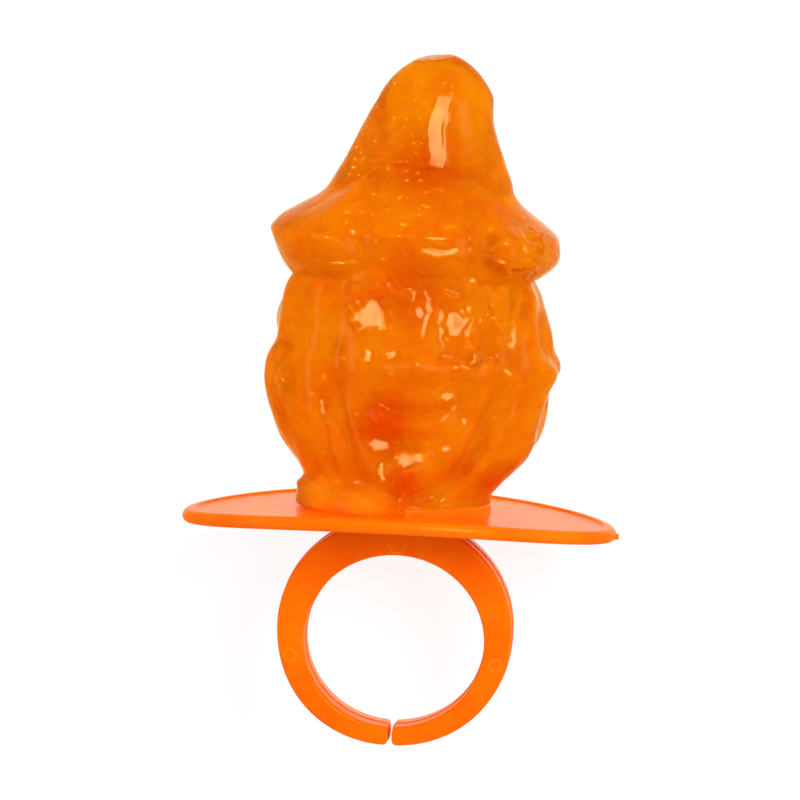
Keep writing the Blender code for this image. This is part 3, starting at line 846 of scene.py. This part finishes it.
def make_large_bubbles(tree, material):
    """The few large bubbles close under the skin of the cheeks, slightly out of round."""
    body = bmesh.new()
    for x, y, radius in LARGE_BUBBLES:
        z = skin_height(tree, x, y) - radius - BUBBLE_COVER
        where = Matrix.Translation(Vector((x, y, z)) * MM)
        bmesh.ops.create_icosphere(body, subdivisions=4, radius=radius * MM, matrix=where)
    mesh = bpy.data.meshes.new("large_bubbles")
    body.to_mesh(mesh)
    body.free()
    points = coordinates(mesh)
    for i, point in enumerate(points):
        points[i, 2] += 0.12 * noise.noise(Vector(point) * 0.9)
    set_coordinates(mesh, points)
    finish_piece(add_object("large_bubbles", mesh), "trapped_large_bubbles", material, None, 80)


# --- materials --------------------------------------------------------------------------------


# A colour mix's own sockets, which share their names with those of its other kinds
MIX_FIRST, MIX_SECOND, MIX_RESULT = 6, 7, 2


def new_material(name):
    material = bpy.data.materials.new(name)
    material.use_nodes = True
    tree = material.node_tree
    return material, tree, tree.nodes["Principled BSDF"]


def add_node(tree, kind, **values):
    """A node with values for its inputs or, where it has none of that name, for its settings."""
    node = tree.nodes.new(kind)
    for key, value in values.items():
        if key in node.inputs:
            node.inputs[key].default_value = value
        else:
            setattr(node, key, value)
    return node


def object_coordinates(tree, stretch=(1.0, 1.0, 1.0)):
    """Places on the lying lollipop in millimetres, stretched along each axis."""
    source = add_node(tree, "ShaderNodeTexCoord")
    mapping = add_node(tree, "ShaderNodeMapping")
    mapping.inputs["Scale"].default_value = [share / MM for share in stretch]
    tree.links.new(source.outputs["Object"], mapping.inputs["Vector"])
    return mapping.outputs["Vector"]


def cloudy(tree, where, scale, detail, roughness=0.5):
    """A value that wanders about a half from place to place."""
    pattern = add_node(tree, "ShaderNodeTexNoise", Scale=scale, Detail=detail, Roughness=roughness)
    tree.links.new(where, pattern.inputs["Vector"])
    return pattern.outputs["Fac"]


def remapped(tree, value, before, after, interpolation="LINEAR"):
    """A value taken from one range to another and held at its ends."""
    node = add_node(tree, "ShaderNodeMapRange", interpolation_type=interpolation)
    for name, number in zip(("From Min", "From Max", "To Min", "To Max"), before + after):
        node.inputs[name].default_value = number
    tree.links.new(value, node.inputs["Value"])
    return node.outputs["Result"]


def calculated(tree, operation, *values, clamp=False):
    """The result of a sum on values, each a number or what another node gives."""
    node = add_node(tree, "ShaderNodeMath", operation=operation, use_clamp=clamp)
    for socket, value in zip(node.inputs, values):
        if isinstance(value, bpy.types.NodeSocket):
            tree.links.new(value, socket)
        else:
            socket.default_value = value
    return node.outputs["Value"]


def colour_ramp(tree, value, stops):
    """A colour that runs through stops, each a position and a colour, as a value rises."""
    node = add_node(tree, "ShaderNodeValToRGB")
    elements = node.color_ramp.elements
    for index in (0, -1):
        elements[index].position, elements[index].color = stops[index]
    for position, colour in stops[1:-1]:
        elements.new(position).color = colour
    tree.links.new(value, node.inputs["Fac"])
    return node.outputs["Color"]


def turned_towards(tree, amount, colour, target):
    """A colour turned towards another by an amount."""
    mix = add_node(tree, "ShaderNodeMix", data_type="RGBA")
    tree.links.new(amount, mix.inputs["Factor"])
    tree.links.new(colour, mix.inputs[MIX_FIRST])
    mix.inputs[MIX_SECOND].default_value = target
    return mix.outputs[MIX_RESULT]


def distance_to(tree, where, place):
    """The distance in millimetres from a place on the worn lollipop."""
    distance = add_node(tree, "ShaderNodeVectorMath", operation="DISTANCE")
    tree.links.new(where, distance.inputs[0])
    distance.inputs[1].default_value = lying() @ (Vector(place) * MM) / MM
    return distance.outputs["Value"]


def near_place(tree, where, place, radius, away, at_place):
    """A value that is one number away from a place in the sweet and another at it."""
    distance = distance_to(tree, where, place)
    return remapped(tree, distance, (radius, 0.0), (away, at_place), "SMOOTHSTEP")


def tinted(tree, where, patchy, colour, target, place, radius, depth):
    """A colour turned towards another round a place in the sweet, in ragged patches."""
    near = near_place(tree, where, place, radius, 0.0, depth * 2.0)
    return turned_towards(tree, calculated(tree, "MULTIPLY", near, patchy, clamp=True), colour, target)


def edge_highlighted(tree, where, colour, place, radius):
    """A colour made paler along a thin circle round a place: a painted highlight along a mark's edge."""
    off_circle = calculated(tree, "SUBTRACT", distance_to(tree, where, place), radius)
    off = calculated(tree, "ABSOLUTE", off_circle)
    near = remapped(tree, off, (MARK_EDGE_HIGHLIGHT_WIDTH, 0.0), (0.0, MARK_EDGE_HIGHLIGHT_SHARE), "SMOOTHSTEP")
    return turned_towards(tree, near, colour, MARK_EDGE_HIGHLIGHT)


def add_bump(tree, shader, height, strength, distance):
    """Fine relief on a surface, whose strength is a number or what another node gives."""
    bump = add_node(tree, "ShaderNodeBump", Distance=distance)
    if isinstance(strength, bpy.types.NodeSocket):
        tree.links.new(strength, bump.inputs["Strength"])
    else:
        bump.inputs["Strength"].default_value = strength
    tree.links.new(height, bump.inputs["Height"])
    tree.links.new(bump.outputs["Normal"], shader.inputs["Normal"])


def sweet_material():
    """Clear orange boiled sugar: glossy, hazy inside and darker where it is thick, with painted shade
    under the brim and round the chin and painted light on the hat's flanks and the skirt's end.
    """
    material, tree, shader = new_material("orange_sweet")
    links = tree.links
    shader.inputs["IOR"].default_value = SUGAR_IOR
    shader.inputs["Specular Tint"].default_value = (1.0, 0.8, 0.32, 1.0)
    shader.inputs["Transmission Weight"].default_value = 0.66
    shader.inputs["Subsurface Weight"].default_value = 1.0
    shader.inputs["Subsurface Radius"].default_value = (1.0, 0.35, 0.08)
    shader.inputs["Subsurface Scale"].default_value = 0.004
    where = object_coordinates(tree)
    patchy = cloudy(tree, object_coordinates(tree, (0.8, 1.5, 0.8)), 0.9, 6.0, 0.75)
    mottled = add_node(tree, "ShaderNodeMix", data_type="FLOAT")
    mottled.inputs["Factor"].default_value = 0.4
    links.new(cloudy(tree, where, 0.22, 4.0, 0.6), mottled.inputs["A"])
    links.new(patchy, mottled.inputs["B"])
    colour = colour_ramp(tree, mottled.outputs["Result"], ((0.38, DARK_SUGAR), (0.62, LIGHT_SUGAR)))
    # Deeper red and painted shade, then paler sugar and painted light, each round its places
    for target, places in ((DEEP_RED_AND_SHADE_SUGAR, DEEP_RED_AND_SHADE_PLACES), (PALE_AND_LIT_SUGAR, PALE_AND_LIT_PLACES)):
        for place, radius, depth in places:
            colour = tinted(tree, where, patchy, colour, target, place, radius, depth)
    links.new(colour, shader.inputs["Base Color"])
    rough = remapped(tree, cloudy(tree, where, 0.5, 3.0), (0.35, 0.75), (0.02, 0.06))
    links.new(rough, shader.inputs["Roughness"])
    strength = near_place(tree, where, ROUGH_FLAP, ROUGH_FLAP_RADIUS, 0.06, 0.6)
    add_bump(tree, shader, cloudy(tree, where, 1.3, 6.0, 0.65), strength, 0.0004)
    volume = add_node(tree, "ShaderNodeVolumeAbsorption")
    volume.inputs["Color"].default_value = (0.97, 0.67, 0.1, 1.0)
    volume.inputs["Density"].default_value = 150.0
    links.new(volume.outputs["Volume"], tree.nodes["Material Output"].inputs["Volume"])
    return material


def glowing_bubble_material():
    """Tiny air bubbles, painted pale and glowing: painted light for the glints they catch in the sugar."""
    material, tree, shader = new_material("glowing_air_beads")
    shader.inputs["Roughness"].default_value = 0.25
    # Painted light: the beads glow, though nothing lights them inside the sugar
    shader.inputs["Emission Color"].default_value = (1.0, 0.68, 0.2, 1.0)
    shader.inputs["Emission Strength"].default_value = 0.85
    cloud = cloudy(tree, object_coordinates(tree), 1.5, 2.0)
    colour = colour_ramp(tree, cloud, ((0.35, DIM_BEAD_SHEEN), (0.65, BRIGHT_BEAD_SHEEN)))
    tree.links.new(colour, shader.inputs["Base Color"])
    return material


def large_bubble_material():
    """Air inside the sugar: clear, with the bright rim that bending back into air gives."""
    material, tree, shader = new_material("trapped_air")
    shader.inputs["IOR"].default_value = AIR_IN_SUGAR_IOR
    shader.inputs["Transmission Weight"].default_value = 1.0
    cloud = cloudy(tree, object_coordinates(tree), 2.0, 2.0)
    tree.links.new(remapped(tree, cloud, (0.0, 1.0), (0.0, 0.12)), shader.inputs["Roughness"])
    return material


def plastic_material():
    """Satin orange plastic that lets some light through, with a painted highlight round each moulding
    mark.
    """
    material, tree, shader = new_material("orange_plastic")
    links = tree.links
    shader.inputs["IOR"].default_value = 1.45
    shader.inputs["Specular IOR Level"].default_value = 0.4
    shader.inputs["Specular Tint"].default_value = (1.0, 0.6, 0.1, 1.0)
    shader.inputs["Subsurface Weight"].default_value = 0.6
    shader.inputs["Subsurface Radius"].default_value = (1.0, 0.3, 0.05)
    shader.inputs["Subsurface Scale"].default_value = 0.0015
    where = object_coordinates(tree)
    cloud = cloudy(tree, where, 0.12, 3.0, 0.6)
    colour = colour_ramp(tree, cloud, ((0.3, DARK_PLASTIC), (0.7, LIGHT_PLASTIC)))
    # Painted highlights round the moulding marks' edges
    for x, y, radius in EJECTOR_MARKS:
        colour = edge_highlighted(tree, where, colour, (x + BAND_X, y, BAND_DEPTH / 2 + EJECTOR_HEIGHT), radius)
    links.new(colour, shader.inputs["Base Color"])
    grain = cloudy(tree, where, 7.0, 3.0, 0.6)
    links.new(remapped(tree, grain, (0.0, 1.0), (0.2, 0.32)), shader.inputs["Roughness"])
    add_bump(tree, shader, grain, 0.05, 0.0001)
    return material


# --- studio -----------------------------------------------------------------------------------


def make_floor():
    """A white floor that mirrored rays don't see."""
    body = bmesh.new()
    bmesh.ops.create_grid(body, x_segments=1, y_segments=1, size=2.0)
    mesh = bpy.data.meshes.new("studio_floor")
    body.to_mesh(mesh)
    body.free()
    floor = add_object("studio_floor", mesh)
    material, _, shader = new_material("floor_white")
    shader.inputs["Base Color"].default_value = (0.22, 0.22, 0.22, 1.0)
    shader.inputs["Roughness"].default_value = 0.9
    shader.inputs["Specular IOR Level"].default_value = 0.2
    shader.inputs["Emission Color"].default_value = (1.0, 1.0, 1.0, 1.0)
    shader.inputs["Emission Strength"].default_value = FLOOR_GLOW
    floor.data.materials.append(material)
    floor.visible_glossy = False


def make_world():
    """A plain room for most rays, and for mirrored ones the lollipop's own colours round it."""
    world = bpy.data.worlds.new("studio")
    world.use_nodes = True
    bpy.context.scene.world = world
    tree = world.node_tree
    where = add_node(tree, "ShaderNodeTexCoord")
    split = add_node(tree, "ShaderNodeSeparateXYZ")
    tree.links.new(where.outputs["Generated"], split.inputs["Vector"])
    height = remapped(tree, split.outputs["Z"], (-1.0, 1.0), (0.0, 1.0))
    path = add_node(tree, "ShaderNodeLightPath").outputs
    # A ray through the sugar counts as glossy too, so those are taken off
    mirrored = calculated(tree, "SUBTRACT", path["Is Glossy Ray"], path["Is Transmission Ray"], clamp=True)
    choice = add_node(tree, "ShaderNodeMix", data_type="RGBA")
    tree.links.new(mirrored, choice.inputs["Factor"])
    choice.inputs[MIX_FIRST].default_value = (ROOM, ROOM, ROOM, 1.0)
    tree.links.new(colour_ramp(tree, height, MIRRORED_ROOM), choice.inputs[MIX_SECOND])
    tree.links.new(choice.outputs[MIX_RESULT], tree.nodes["Background"].inputs["Color"])


def add_softbox(name, direction, size, radiance):
    """An oblong area light of a radiance, aimed at the lollipop, its height in line with the sweet."""
    light = bpy.data.lights.new(name, "AREA")
    light.shape = "RECTANGLE"
    light.size, light.size_y = size
    light.energy = radiance * math.pi * size[0] * size[1]
    lamp = bpy.data.objects.new(name, light)
    bpy.context.scene.collection.objects.link(lamp)
    away = Vector(direction).normalized()
    across = Vector((0.0, 1.0, 0.0)).cross(away).normalized()
    turn = Matrix((across, away.cross(across), away)).transposed().to_4x4()
    lamp.matrix_world = Matrix.Translation(Vector(SOFTBOX_AIM) + away * SOFTBOX_DISTANCE) @ turn


def make_lights():
    make_world()
    for name, (direction, size, radiance) in SOFTBOXES.items():
        add_softbox(name, direction, size, radiance)


def make_camera():
    """A long lens that looks at the face from slightly above and to the right, a little rolled."""
    a, e = math.radians(CAMERA_AZIMUTH), math.radians(CAMERA_ELEVATION)
    back = Vector((math.sin(a) * math.cos(e), math.sin(e), math.cos(a) * math.cos(e)))
    right = Vector((0.0, 1.0, 0.0)).cross(back).normalized()
    turn = Matrix((right, back.cross(right), back)).transposed()
    turn = (turn @ Matrix.Rotation(math.radians(CAMERA_ROLL), 3, "Z")).to_4x4()
    turn.translation = (Vector(CAMERA_AIM) + back * CAMERA_DISTANCE) * MM
    data = bpy.data.cameras.new("camera")
    data.sensor_width = 36.0
    data.lens = CAMERA_LENS
    data.clip_start = 0.01
    camera = bpy.data.objects.new("camera", data)
    bpy.context.scene.collection.objects.link(camera)
    camera.matrix_world = lying() @ turn
    bpy.context.scene.camera = camera


def main():
    random.seed(7)
    make_camera()
    make_floor()
    make_lights()
    bpy.context.scene.view_settings.view_transform = "Standard"
    make_ring_base(plastic_material())
    skin = make_sweet(sweet_material())
    make_small_bubbles(skin, glowing_bubble_material())
    make_large_bubbles(skin, large_bubble_material())


main()
